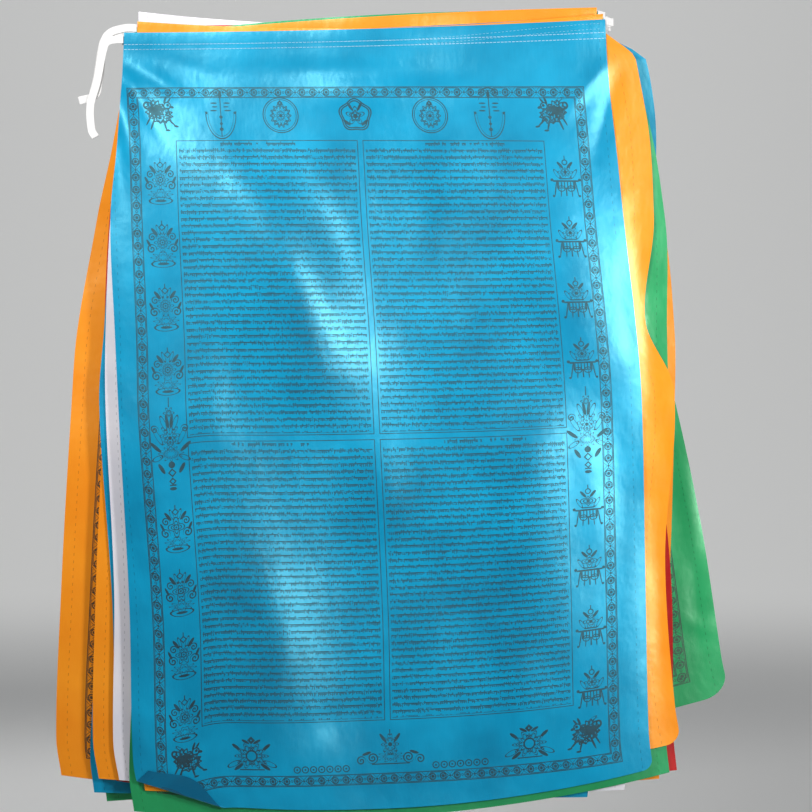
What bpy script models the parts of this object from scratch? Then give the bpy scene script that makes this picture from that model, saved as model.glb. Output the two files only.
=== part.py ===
"""Tibetan prayer flag string: fifteen large printed flags, folded back and forth on their white tape.

The string hangs as one bundle from its header. X runs to the viewer's right, Y away from the viewer
and Z up. The origin is the middle of the front flag's top edge. Sizes are in metres.
"""

import math
from typing import NamedTuple

import bmesh
import bpy
from mathutils import Vector

MM = 0.001

# The cloth and its tape
SHEET = 1.0 * MM
CASING = 1.4 * MM
CASING_DEPTH = 14.0 * MM
CASING_TAPER = 2.0 * MM
CASING_SHARE = 0.02
TAPE_WIDTH = 8.0 * MM
TAPE_THICK = 0.9 * MM
CLEARANCE = 0.3 * MM

# How far apart the flags hang, from one to the next
PITCH_HEADER = CASING + CLEARANCE
PITCH_LOOSE = 4.0 * MM
LOOSE_START = 24.0 * MM
LOOSE_FULL = 260.0 * MM

# How a flag's folds soften from one flag to the next behind it
FOLD_KEPT = 0.93

# Rows and columns of cloth in the front flag and in those behind it
FRONT_GRID = (16, 24)
BEHIND_GRID = (9, 13)
ROW_CROWDING = 0.5

COLOURS = {
    "blue": (0.01, 0.30, 0.54),
    "yellow": (0.95, 0.32, 0.02),
    "green": (0.03, 0.42, 0.16),
    "red": (0.60, 0.01, 0.01),
    "white": (0.85, 0.83, 0.84),
}


class Station(NamedTuple):
    """The front flag's side edges, at one share of the way down."""

    down: float
    left: float
    right: float


# X of the front flag's edges, in millimetres
FRONT_EDGES = (
    Station(0.00, -253, 252),
    Station(0.06, -255, 255),
    Station(0.15, -260, 263),
    Station(0.25, -267, 271),
    Station(0.40, -262, 284),
    Station(0.50, -258, 290),
    Station(0.75, -247, 294),
    Station(0.95, -243.5, 297.5),
    Station(1.00, -236, 302),
)


class Edge(NamedTuple):
    """Z of a flag's top edge or hem, in millimetres: its two corners and the sag between them."""

    left: float
    right: float
    sag: float


class Spread(NamedTuple):
    """How far a side edge stands out past the front flag's, in millimetres."""

    header: float
    grip: float
    chest: float
    waist: float
    hip: float
    knee: float
    hem: float


SPREAD_DOWN = Spread(CASING_SHARE, 0.05, 0.25, 0.40, 0.50, 0.75, 1.00)


class Flag(NamedTuple):
    """One flag, from the front to the back of the bundle."""

    colour: str
    top: Edge
    hem: Edge
    left: Spread
    right: Spread


FLAGS = (
    Flag(
        "blue", Edge(-4, 10, 3), Edge(-805, -776, 28), Spread(0, 0, 0, 0, 0, 0, 0), Spread(0, 0, 0, 0, 0, 0, 0)
    ),
    Flag(
        "yellow",
        Edge(8, 16, 11),
        Edge(-800, -749, 19),
        Spread(-14, -9, -6, -6, -6, -6, -5),
        Spread(-2, 30, 32, 10, 34, 21, 30),
    ),
    Flag(
        "green",
        Edge(2, 12, 8),
        Edge(-822, -781, 26),
        Spread(-12, -8, -8, -4, -3, -4, 7),
        Spread(-2, 27, 44, 33, 28, 20, 18),
    ),
    Flag(
        "red",
        Edge(-2, 10, 6),
        Edge(-786, -779, 14),
        Spread(-12, -8, -5, -5, -6, -6, -5),
        Spread(-3, 21, 30, 20, 14, 28, 26),
    ),
    Flag(
        "white",
        Edge(-3, 8, 6),
        Edge(-790, -800, 8),
        Spread(-12, -7, 1, 11, 15, 17, 23),
        Spread(-4, 16, 21, 22, 21, 8, -29),
    ),
    Flag(
        "blue",
        Edge(-1, 8, 6),
        Edge(-786, -808, 8),
        Spread(-12, -7, 0, 13, 22, 20, 17),
        Spread(-4, 11, 14, 12, 5, -20, -68),
    ),
    Flag(
        "yellow",
        Edge(-4, 9, 6),
        Edge(-789, -789, 12),
        Spread(-12, -7, -1, 10, 17, 37, 45),
        Spread(-4, 10, 42, 42, 36, 26, 8),
    ),
    Flag(
        "green",
        Edge(-2, 9, 6),
        Edge(-786, -781, 10),
        Spread(-12, -7, -5, 5, 8, 20, 21),
        Spread(-4, 8, 21, 26, 21, 11, 14),
    ),
    Flag(
        "red",
        Edge(-4, 9, 6),
        Edge(-792, -787, 22),
        Spread(-12, -7, 3, 13, 12, 16, 27),
        Spread(-4, 6, 16, 21, 19, 8, -12),
    ),
    Flag(
        "white",
        Edge(-2, 10, 6),
        Edge(-786, -781, 12),
        Spread(-12, -7, -3, 2, 3, 13, 15),
        Spread(-4, 8, 21, 23, 21, 11, -1),
    ),
    Flag(
        "blue",
        Edge(-3, 15, 4),
        Edge(-805, -774, 12),
        Spread(-13, -8, -2, 4, 10, 34, 51),
        Spread(-4, 42, 36, 32, 26, 11, -6),
    ),
    Flag(
        "yellow",
        Edge(-6, 24, -5),
        Edge(-787, -784, 22),
        Spread(-13, -4, 17, 43, 53, 75, 86),
        Spread(-8, 5, 11, 11, 11, 0, -22),
    ),
    Flag(
        "green",
        Edge(-6, 20, -9),
        Edge(-815, -700, 18),
        Spread(-13, -8, -2, 7, 10, 21, 38),
        Spread(-5, 4, 8, 16, 30, 61, 84),
    ),
    Flag(
        "red",
        Edge(4, 20, 2),
        Edge(-796, -776, 10),
        Spread(-14, -9, -4, 2, 4, 15, 20),
        Spread(-3, 2, 13, 16, 16, 5, -14),
    ),
    Flag(
        "white",
        Edge(20, 16, 13),
        Edge(-804, -770, 12),
        Spread(-14, -9, -8, -4, -2, 8, 14),
        Spread(-5, 8, 15, 20, 26, 34, 23),
    ),
)


class Fold(NamedTuple):
    """A soft ridge, or a hollow where height is below zero, along a line down the cloth. Millimetres."""

    x_high: float
    z_high: float
    x_low: float
    z_low: float
    half_width: float
    height: float


FOLDS = (
    Fold(-184, -100, -40, -350, 62, 9),
    Fold(25, -110, 70, -560, 70, -8),
    Fold(160, -90, 246, -330, 60, 8),
    Fold(-175, -440, -110, -770, 78, 7),
    Fold(-20, -560, 0, -800, 70, -6),
    Fold(200, -450, 245, -770, 70, 7),
)
FOLDS_START = 30.0 * MM
FOLDS_FULL = 200.0 * MM
BELLY = 10.0 * MM
DROP = 800.0 * MM
TOP_SHARE = 0.1

# The front flag's lower left corner is turned up along this line
TURN_LEFT = Vector((-242.5, 0.0, -787.5)) * MM
TURN_RIGHT = Vector((-142.8, 0.0, -818.0)) * MM
TURN_RADIUS = 1.3 * MM
TURN_CUTS = 4

# How much lower the front flag's hem hangs beside that corner
SWAG = 15.0 * MM
SWAG_ACROSS = 0.08
SWAG_HALF_WIDTH = 0.06


class Loop(NamedTuple):
    """A loop of tape between two flags, in millimetres.

    It reaches out from the outermost of its two casings and drops. On its way down it bows outwards, and
    its lower end kicks outwards.
    """

    first_flag: int
    reach: float
    drop: float
    bow: float
    kick: float


LEFT_LOOPS = (
    Loop(1, 22, 108, 12.5, 7.5),
    Loop(3, 34, 68, 4, 24),
    Loop(5, 11, 0, 0, 0),
    Loop(7, 15, 0, 0, 0),
    Loop(9, 10, 0, 0, 0),
    Loop(11, 14, 0, 0, 0),
    Loop(13, 11, 0, 0, 0),
)
RIGHT_LOOPS = (
    Loop(2, 9, 0, 0, 0),
    Loop(4, 7, 0, 0, 0),
    Loop(6, 6, 0, 0, 0),
    Loop(8, 7, 0, 0, 0),
    Loop(10, 6, 0, 0, 0),
    Loop(12, 4, 0, 0, 0),
    Loop(14, 5, 0, 0, 0),
)
LOOP_STEPS = 3
TURN_STEPS = 4


def clear_scene():
    for old in list(bpy.data.objects):
        bpy.data.objects.remove(old, do_unlink=True)


def cloth_material(name, colour, roughness):
    material = bpy.data.materials.new(name)
    material.use_nodes = True
    shader = material.node_tree.nodes["Principled BSDF"]
    shader.inputs["Base Color"].default_value = (*colour, 1.0)
    shader.inputs["Roughness"].default_value = roughness
    shader.inputs["Metallic"].default_value = 0.0
    return material


def ease(share):
    """0 to 1 with a level start and end."""
    share = min(max(share, 0.0), 1.0)
    return share * share * (3.0 - 2.0 * share)


def through(places, values, at):
    """A smooth curve through values at rising places, read at one place."""
    last = len(places) - 2
    index = min(max(sum(at >= place for place in places) - 1, 0), last)
    slopes = []
    for middle in (index, index + 1):
        before = max(middle - 1, 0)
        after = min(middle + 1, last + 1)
        slopes.append((values[after] - values[before]) / (places[after] - places[before]))
    span = places[index + 1] - places[index]
    share = (at - places[index]) / span
    low, high = values[index], values[index + 1]
    bend = (2.0 * share - 3.0) * share * share
    start = share * (1.0 - share) ** 2 * span * slopes[0]
    end = share * share * (share - 1.0) * span * slopes[1]
    return low * (1.0 + bend) - high * bend + start + end


def edge_height(edge, across):
    """Z of a top edge or hem, at a share of the way from its left corner to its right."""
    sag = edge.sag * 4.0 * across * (1.0 - across)
    return (edge.left + (edge.right - edge.left) * across - sag) * MM


def side_places(layer, down):
    """X of the left and right edges of a flag, at a share of the way down."""
    flag = FLAGS[layer]
    stations = [station.down for station in FRONT_EDGES]
    left = through(stations, [station.left for station in FRONT_EDGES], down) * MM
    right = through(stations, [station.right for station in FRONT_EDGES], down) * MM
    places = (0.0, *SPREAD_DOWN)
    outs = [through(places, (spread.header, *spread), down) * MM for spread in (flag.left, flag.right)]
    return left - outs[0], right + outs[1]


def hang(layer, across, down):
    """X and Z of a point of a flag as it hangs, before its folds."""
    left, right = side_places(layer, down)
    x = left + (right - left) * across
    top = edge_height(FLAGS[layer].top, across) * (1.0 - ease(down / TOP_SHARE))
    hem = edge_height(FLAGS[layer].hem, across)
    if layer == 0:
        hem -= SWAG * math.exp(-(((across - SWAG_ACROSS) / SWAG_HALF_WIDTH) ** 2))
    lower = (hem + DROP) * ease((down - TOP_SHARE) / (1.0 - TOP_SHARE))
    return x, top + lower - DROP * down


def fold_height(x, z):
    """How far the folds lift the cloth towards the viewer at a place."""
    total = 0.0
    for fold in FOLDS:
        start = Vector((fold.x_high, fold.z_high)) * MM
        end = Vector((fold.x_low, fold.z_low)) * MM
        along = end - start
        share = min(max((Vector((x, z)) - start).dot(along) / along.length_squared, 0.0), 1.0)
        away = (Vector((x, z)) - start - along * share).length
        total += fold.height * MM * math.exp(-((away / (fold.half_width * MM)) ** 2))
    start = ease((-z - FOLDS_START) / (FOLDS_FULL - FOLDS_START))
    belly = BELLY * math.sin(math.pi * min(max(-z / DROP, 0.0), 1.0))
    return total * start + belly


def layer_depth(layer, x, z):
    """Y of a flag at a place: its turn in the bundle, and its share of the folds."""
    loose = ease((-z - LOOSE_START) / (LOOSE_FULL - LOOSE_START))
    pitch = PITCH_HEADER + (PITCH_LOOSE - PITCH_HEADER) * loose
    return layer * pitch - fold_height(x, z) * FOLD_KEPT**layer


def turned_corner(point):
    """Takes the front flag's corner below the turn line up over its front."""
    along = (TURN_RIGHT - TURN_LEFT).normalized()
    below = Vector((along.z, 0.0, -along.x))
    past = (Vector((point.x, 0.0, point.z)) - TURN_LEFT).dot(below)
    if past <= 0.0:
        return point
    turn = min(past / TURN_RADIUS, math.pi)
    in_plane = TURN_RADIUS * math.sin(turn) - max(past - math.pi * TURN_RADIUS, 0.0)
    lift = TURN_RADIUS * (1.0 - math.cos(turn))
    return point + below * (in_plane - past) - Vector((0.0, lift, 0.0))


def flat_grid(layer, columns, rows):
    """A flag's middle surface in the XZ plane, with rows at the casing's lower edge."""
    casing = CASING_DEPTH / DROP
    below = casing + CASING_TAPER / DROP
    downs = [0.0, casing, below]
    for row in range(1, rows + 1):
        share = row / rows
        downs.append(below + (1.0 - below) * (ROW_CROWDING + (1.0 - ROW_CROWDING) * share) * share)
    sheet = bmesh.new()
    grid = []
    for down in downs:
        places = [hang(layer, column / columns, down) for column in range(columns + 1)]
        grid.append([sheet.verts.new((x, 0.0, z)) for x, z in places])
    for upper, lower in zip(grid, grid[1:]):
        for column in range(columns):
            corners = (upper[column], lower[column], lower[column + 1], upper[column + 1])
            sheet.faces.new(corners)
    return sheet, {vert for row in grid[:2] for vert in row}


def cut_turn(sheet):
    """Adds the creases of the turned corner to the front flag's flat surface."""
    along = (TURN_RIGHT - TURN_LEFT).normalized()
    below = Vector((along.z, 0.0, -along.x))
    for cut in range(TURN_CUTS + 1):
        place = TURN_LEFT + below * (math.pi * TURN_RADIUS * cut / TURN_CUTS)
        geometry = list(sheet.verts) + list(sheet.edges) + list(sheet.faces)
        bmesh.ops.bisect_plane(sheet, geom=geometry, dist=1e-7, plane_co=place, plane_no=below)


def thicken(sheet, thickness_of):
    """Turns a surface into a closed sheet, half of its thickness to each side."""
    sheet.normal_update()
    solid = bmesh.new()
    pairs = {}
    for vert in sheet.verts:
        half = vert.normal * (thickness_of(vert) / 2.0)
        pairs[vert] = (solid.verts.new(vert.co + half), solid.verts.new(vert.co - half))
    for face in sheet.faces:
        solid.faces.new([pairs[vert][0] for vert in face.verts])
        solid.faces.new([pairs[vert][1] for vert in reversed(face.verts)])
    for edge in sheet.edges:
        if not edge.is_boundary:
            continue
        loop = edge.link_loops[0]
        first, second = loop.vert, loop.link_loop_next.vert
        solid.faces.new((pairs[second][0], pairs[first][0], pairs[first][1], pairs[second][1]))
    return solid


def keep(solid, name, material):
    """Makes a named object of a closed solid whose faces all turn the same way."""
    if solid.calc_volume(signed=True) < 0.0:
        bmesh.ops.reverse_faces(solid, faces=solid.faces)
    bmesh.ops.triangulate(solid, faces=solid.faces)
    mesh = bpy.data.meshes.new(name)
    solid.to_mesh(mesh)
    solid.free()
    mesh.materials.append(material)
    mesh.shade_smooth()
    mesh.set_sharp_from_angle(angle=math.radians(40))
    piece = bpy.data.objects.new(name, mesh)
    bpy.context.scene.collection.objects.link(piece)
    return piece


def make_flag(layer, material):
    """One flag: a sheet with its casing, hung in its place in the bundle."""
    columns, rows = FRONT_GRID if layer == 0 else BEHIND_GRID
    sheet, cased = flat_grid(layer, columns, rows)
    if layer == 0:
        cut_turn(sheet)
    for vert in sheet.verts:
        vert.co.y = layer_depth(layer, vert.co.x, vert.co.z)
        if layer == 0:
            vert.co = turned_corner(vert.co)
    solid = thicken(sheet, lambda vert: CASING if vert in cased else SHEET)
    sheet.free()
    return keep(solid, f"flag_{layer + 1:02d}_{FLAGS[layer].colour}", material)


def casing_end(layer, side):
    """X of a casing's left or right end, at the part of it that stands out most."""
    corner = 0 if side < 0 else 1
    return side * max(side * side_places(layer, down)[corner] for down in (0.0, CASING_SHARE))


def tape_arm(loop, side, layer, level):
    """The middle line of one side of a tape loop, from a flag's casing end outwards."""
    corner = 0 if side < 0 else 1
    middle = edge_height(FLAGS[layer].top, corner) - CASING_DEPTH / 2.0
    edge = casing_end(layer, side)
    outermost = max(side * casing_end(flag, side) for flag in (loop.first_flag - 1, loop.first_flag))
    start = Vector((edge + side * CLEARANCE, layer * PITCH_HEADER, middle))
    out = Vector((side * (outermost + loop.reach * MM) - edge, 0.0, 0.0))
    fall = Vector((0.0, 0.0, -loop.drop * MM))
    sideways = Vector((side * MM, 0.0, 0.0))
    levelled = Vector((0.0, 0.0, level - middle))
    if not loop.drop:
        return [start, start + out * 0.5 + levelled * 0.5, start + out + levelled]
    bow, kick = sideways * loop.bow, sideways * loop.kick
    return [
        start,
        start + out * 0.35,
        start + out * 0.80 + fall * 0.04 + levelled * 0.2,
        start + out + fall * 0.16 + levelled * 0.4,
        start + out + bow * 0.45 + fall * 0.45 + levelled * 0.7,
        start + out + bow + fall * 0.70 + levelled,
        start + out + bow * 0.8 + kick * 0.2 + fall * 0.92 + levelled,
        start + out + kick + fall + levelled,
    ]


def smooth_line(points, steps):
    """A finer line through an arm's points."""
    places = [float(index) for index in range(len(points))]
    line = []
    for step in range((len(points) - 1) * steps + 1):
        values = [through(places, [point[axis] for point in points], step / steps) for axis in range(3)]
        line.append(Vector(values))
    return line


def arm_heading(line, index, side, hanging):
    """Which way a tape runs at a point of an arm: straight out at the casing and all along a short loop."""
    if index == 0 or not hanging:
        return Vector((side, 0.0, 0.0))
    return (line[min(index + 1, len(line) - 1)] - line[index - 1]).normalized()


def arm_sections(line, side, outer, hanging):
    """Middle, width direction and outer side of a tape along one arm of its loop."""
    sections = []
    for index, point in enumerate(line):
        along = arm_heading(line, index, side, hanging)
        sections.append((point, Vector((-along.z, 0.0, along.x)), outer))
    return sections


def make_tape(loop, side, side_name, material):
    """A flat tape that leaves one flag's casing, turns back on itself and enters the next one's."""
    layers = (loop.first_flag - 1, loop.first_flag)
    corner = 0 if side < 0 else 1
    level = sum(edge_height(FLAGS[layer].top, corner) for layer in layers) / 2.0 - CASING_DEPTH / 2.0
    front_line, back_line = (smooth_line(tape_arm(loop, side, layer, level), LOOP_STEPS) for layer in layers)
    away = Vector((0.0, 1.0, 0.0))
    hanging = loop.drop > 0
    sections = arm_sections(front_line, side, -away, hanging)
    last, width = front_line[-1], sections[-1][1]
    heading = arm_heading(front_line, len(front_line) - 1, side, hanging)
    across = back_line[-1] - last
    radius = PITCH_HEADER / 2.0
    for step in range(1, TURN_STEPS):
        angle = math.pi * step / TURN_STEPS
        shift = across * ((1.0 - math.cos(angle)) / 2.0) + heading * (radius * math.sin(angle))
        sections.append((last + shift, width, heading * math.sin(angle) - away * math.cos(angle)))
    sections += arm_sections(back_line, side, away, hanging)[::-1]
    solid = bmesh.new()
    rings = []
    for middle, width, outer in sections:
        wide, thick = width * (TAPE_WIDTH / 2.0), outer * (TAPE_THICK / 2.0)
        corners = (wide + thick, thick - wide, -wide - thick, wide - thick)
        rings.append([solid.verts.new(middle + corner) for corner in corners])
    for first, second in zip(rings, rings[1:]):
        for corner in range(4):
            following = (corner + 1) % 4
            solid.faces.new((first[corner], first[following], second[following], second[corner]))
    solid.faces.new(rings[0][::-1])
    solid.faces.new(rings[-1])
    return keep(solid, f"tape_{side_name}_{loop.first_flag:02d}_{loop.first_flag + 1:02d}", material)


def main():
    clear_scene()
    cloths = {name: cloth_material(f"{name}_cloth", colour, 0.45) for name, colour in COLOURS.items()}
    tape = cloth_material("white_tape", (0.88, 0.87, 0.84), 0.7)
    for layer, flag in enumerate(FLAGS):
        make_flag(layer, cloths[flag.colour])
    for side, side_name, loops in ((-1.0, "left", LEFT_LOOPS), (1.0, "right", RIGHT_LOOPS)):
        for loop in loops:
            make_tape(loop, side, side_name, tape)


main()
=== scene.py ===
"""The looks of a tibetan prayer flag string.

Fifteen large printed flags hang as one bundle from their gathered header, folded back and forth on a
white tape. X runs to the viewer's right, Y away from the viewer and Z up. The origin is the middle of
the front flag's top edge. Lengths are in metres, and tables are in millimetres where they say so.
"""

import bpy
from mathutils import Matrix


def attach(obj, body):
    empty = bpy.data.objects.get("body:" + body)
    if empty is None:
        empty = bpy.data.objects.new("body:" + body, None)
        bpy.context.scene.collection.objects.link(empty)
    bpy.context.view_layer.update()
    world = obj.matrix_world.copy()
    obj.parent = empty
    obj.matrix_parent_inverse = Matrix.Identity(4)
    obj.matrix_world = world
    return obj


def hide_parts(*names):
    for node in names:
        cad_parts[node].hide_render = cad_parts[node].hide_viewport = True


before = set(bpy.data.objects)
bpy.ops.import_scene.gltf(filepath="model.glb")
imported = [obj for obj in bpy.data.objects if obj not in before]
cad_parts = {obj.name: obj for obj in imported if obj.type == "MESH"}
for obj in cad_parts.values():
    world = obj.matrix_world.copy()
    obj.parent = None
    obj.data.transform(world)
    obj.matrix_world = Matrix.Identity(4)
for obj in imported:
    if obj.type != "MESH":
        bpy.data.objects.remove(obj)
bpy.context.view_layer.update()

import logging
import math
from dataclasses import dataclass, field
from enum import Enum
from typing import Callable, NamedTuple, Sequence

import bmesh
import bpy
import numpy as np
from mathutils import Vector

MM = 0.001
LOG = logging.getLogger("prayer_flags")

# Paint-on attribute of every sheet: across and down the flat cut in millimetres, and 0 in front, 1 behind
CLOTH_PLACE = "cloth"


class Colour(Enum):
    """The five colours of a set, in their order along the string."""

    BLUE = "blue"
    YELLOW = "yellow"
    GREEN = "green"
    RED = "red"
    WHITE = "white"


class Station(NamedTuple):
    """The front flag's side edges at one share of the way down, in millimetres."""

    down: float
    left: float
    right: float


class Edge(NamedTuple):
    """Z of a flag's top edge or hem, in millimetres: its two corners and the sag between them."""

    left: float
    right: float
    sag: float


class Spread(NamedTuple):
    """How far a side edge stands out past the front flag's, in millimetres."""

    header: float
    grip: float
    chest: float
    waist: float
    hip: float
    knee: float
    hem: float


class Hung(NamedTuple):
    """How one flag hangs, from the front of the bundle to its back."""

    colour: Colour
    top: Edge
    hem: Edge
    left: Spread
    right: Spread


class Fold(NamedTuple):
    """A soft ridge, or a hollow where height is below zero, along a line down the cloth. Millimetres."""

    x_high: float
    z_high: float
    x_low: float
    z_low: float
    half_width: float
    height: float


class Loop(NamedTuple):
    """A loop of tape between two flags, in millimetres.

    It reaches out from the outermost of its two casings and drops. On its way down it bows outwards, and
    its lower end kicks outwards. A loop without a drop runs straight out and back.
    """

    first_flag: int
    reach: float
    drop: float = 0.0
    bow: float = 0.0
    kick: float = 0.0


FRONT_EDGES = (
    Station(0.00, -253, 252),
    Station(0.06, -255, 255),
    Station(0.15, -260, 263),
    Station(0.25, -267, 271),
    Station(0.40, -262, 284),
    Station(0.50, -258, 290),
    Station(0.75, -247, 294),
    Station(0.95, -243.5, 297.5),
    Station(1.00, -236, 302),
)
SPREAD_DOWN = Spread(0.02, 0.05, 0.25, 0.40, 0.50, 0.75, 1.00)
BLUE, YELLOW, GREEN, RED, WHITE = Colour
FLAGS = tuple(
    Hung(colour, Edge(*top), Edge(*hem), Spread(*left), Spread(*right))
    for colour, top, hem, left, right in (
        (BLUE, (-4, 10, 3), (-805, -776, 28), (0, 0, 0, 0, 0, 0, 0), (0, 0, 0, 0, 0, 0, 0)),
        (YELLOW, (8, 16, 11), (-800, -749, 19), (-14, -9, -6, -6, -6, -6, -5), (-2, 30, 32, 10, 34, 21, 30)),
        (GREEN, (2, 12, 8), (-822, -781, 26), (-12, -8, -8, -4, -3, -4, 7), (-2, 27, 44, 33, 28, 20, 18)),
        (RED, (-2, 10, 6), (-786, -779, 14), (-12, -8, -5, -5, -6, -6, -5), (-3, 21, 30, 20, 14, 28, 26)),
        (WHITE, (-3, 8, 6), (-790, -800, 8), (-12, -7, 1, 11, 15, 17, 23), (-4, 16, 21, 22, 21, 8, -29)),
        (BLUE, (-1, 8, 6), (-786, -808, 8), (-12, -7, 0, 13, 22, 20, 17), (-4, 11, 14, 12, 5, -20, -68)),
        (YELLOW, (-4, 9, 6), (-789, -789, 12), (-12, -7, -1, 10, 17, 37, 45), (-4, 10, 42, 42, 36, 26, 8)),
        (GREEN, (-2, 9, 6), (-786, -781, 10), (-12, -7, -5, 5, 8, 20, 21), (-4, 8, 21, 26, 21, 11, 14)),
        (RED, (-4, 9, 6), (-792, -787, 22), (-12, -7, 3, 13, 12, 16, 27), (-4, 6, 16, 21, 19, 8, -12)),
        (WHITE, (-2, 10, 6), (-786, -781, 12), (-12, -7, -3, 2, 3, 13, 15), (-4, 8, 21, 23, 21, 11, -1)),
        (BLUE, (-3, 15, 4), (-805, -774, 12), (-13, -8, -2, 4, 10, 34, 51), (-4, 42, 36, 32, 26, 11, -6)),
        (YELLOW, (-6, 24, -5), (-787, -784, 22), (-13, -4, 17, 43, 53, 75, 86), (-8, 5, 11, 11, 11, 0, -22)),
        (GREEN, (-6, 20, -9), (-815, -700, 18), (-13, -8, -2, 7, 10, 21, 38), (-5, 4, 8, 16, 30, 61, 84)),
        (RED, (4, 20, 2), (-796, -776, 10), (-14, -9, -4, 2, 4, 15, 20), (-3, 2, 13, 16, 16, 5, -14)),
        (WHITE, (20, 16, 13), (-804, -770, 12), (-14, -9, -8, -4, -2, 8, 14), (-5, 8, 15, 20, 26, 34, 23)),
    )
)
FOLDS = (
    Fold(-184, -100, -40, -350, 62, 9),
    Fold(25, -110, 70, -560, 70, -8),
    Fold(160, -90, 246, -330, 60, 8),
    Fold(-175, -440, -110, -770, 78, 7),
    Fold(-20, -560, 0, -800, 70, -6),
    Fold(200, -450, 245, -770, 70, 7),
)

# Finer creases, which fan out from the two held corners and run down the cloth
CREASES = (
    Fold(-256, -10, -128, -62, 10, -2.2),
    Fold(-258, -26, -160, -92, 9, 2.6),
    Fold(-262, -34, -196, -140, 9, -2.6),
    Fold(-268, -40, -226, -190, 9, 2.4),
    Fold(-268, -60, -248, -240, 8, -1.6),
    Fold(256, -6, 150, -52, 10, -1.8),
    Fold(262, -24, 196, -104, 9, 1.8),
    Fold(268, -34, 232, -170, 9, -1.8),
    Fold(-150, -40, 190, -44, 13, -2.4),
    Fold(-60, -70, 150, -66, 16, 1.8),
    Fold(-150, -120, -20, -350, 26, 3.4),
    Fold(-70, -110, 20, -330, 24, -2.6),
    Fold(-240, -250, -222, -560, 18, 1.8),
    Fold(-150, -300, -120, -470, 22, -2.2),
    Fold(120, -110, 190, -330, 28, 3.4),
    Fold(60, -160, 110, -380, 26, -2.8),
    Fold(283, -200, 306, -480, 17, -4.0),
    Fold(306, -500, 314, -800, 17, -4.2),
    Fold(236, -420, 252, -600, 18, 2.4),
    Fold(120, -430, 150, -640, 28, -2.6),
    Fold(10, -420, 30, -560, 26, 2.6),
    Fold(-100, -560, -70, -740, 26, 2.6),
    Fold(150, -640, 190, -790, 22, 2.2),
    Fold(-205, -640, -190, -740, 18, -2.0),
    Fold(-60, -740, 60, -700, 22, -2.4),
    Fold(-275, -200, -268, -700, 12, -2.4),
    Fold(334, -430, 366, -650, 9, 17),
    Fold(352, -540, 350, -680, 8, -14),
    Fold(338, -620, 378, -640, 8, 12),
)

LEFT_LOOPS = (
    Loop(1, 22, 108, 12.5, 7.5),
    Loop(3, 34, 68, 4, 24),
    *(Loop(first, reach) for first, reach in ((5, 11), (7, 15), (9, 10), (11, 14), (13, 11))),
)
RIGHT_LOOPS = tuple(
    Loop(first, reach) for first, reach in ((2, 9), (4, 7), (6, 6), (8, 7), (10, 6), (12, 4), (14, 5))
)


def ease(share: np.ndarray | float) -> np.ndarray | float:
    """0 to 1 with a level start and end."""
    share = np.clip(share, 0.0, 1.0)
    return share * share * (3.0 - 2.0 * share)


def through(places: Sequence[float], values: Sequence[float], at: np.ndarray | float) -> np.ndarray:
    """Reads a smooth curve through values at rising places.

    Args:
        places: rising places along the curve.
        values: the curve's value at each place.
        at: where it is read.

    Returns:
        The curve's value at each of those.
    """
    places = np.asarray(places, dtype=float)
    values = np.asarray(values, dtype=float)
    slopes = np.gradient(values)
    slopes[1:-1] = (values[2:] - values[:-2]) / (places[2:] - places[:-2])
    slopes[0] = (values[1] - values[0]) / (places[1] - places[0])
    slopes[-1] = (values[-1] - values[-2]) / (places[-1] - places[-2])
    index = np.clip(np.searchsorted(places, at, side="right") - 1, 0, len(places) - 2)
    span = places[index + 1] - places[index]
    share = (at - places[index]) / span
    bend = (2.0 * share - 3.0) * share * share
    start = share * (1.0 - share) ** 2 * span * slopes[index]
    end = share * share * (share - 1.0) * span * slopes[index + 1]
    return values[index] * (1.0 + bend) - values[index + 1] * bend + start + end


def edge_height(edge: Edge, across: np.ndarray | float) -> np.ndarray | float:
    """Z of a top edge or hem, at a share of the way from its left corner to its right."""
    sag = edge.sag * 4.0 * across * (1.0 - across)
    return (edge.left + (edge.right - edge.left) * across - sag) * MM


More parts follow.
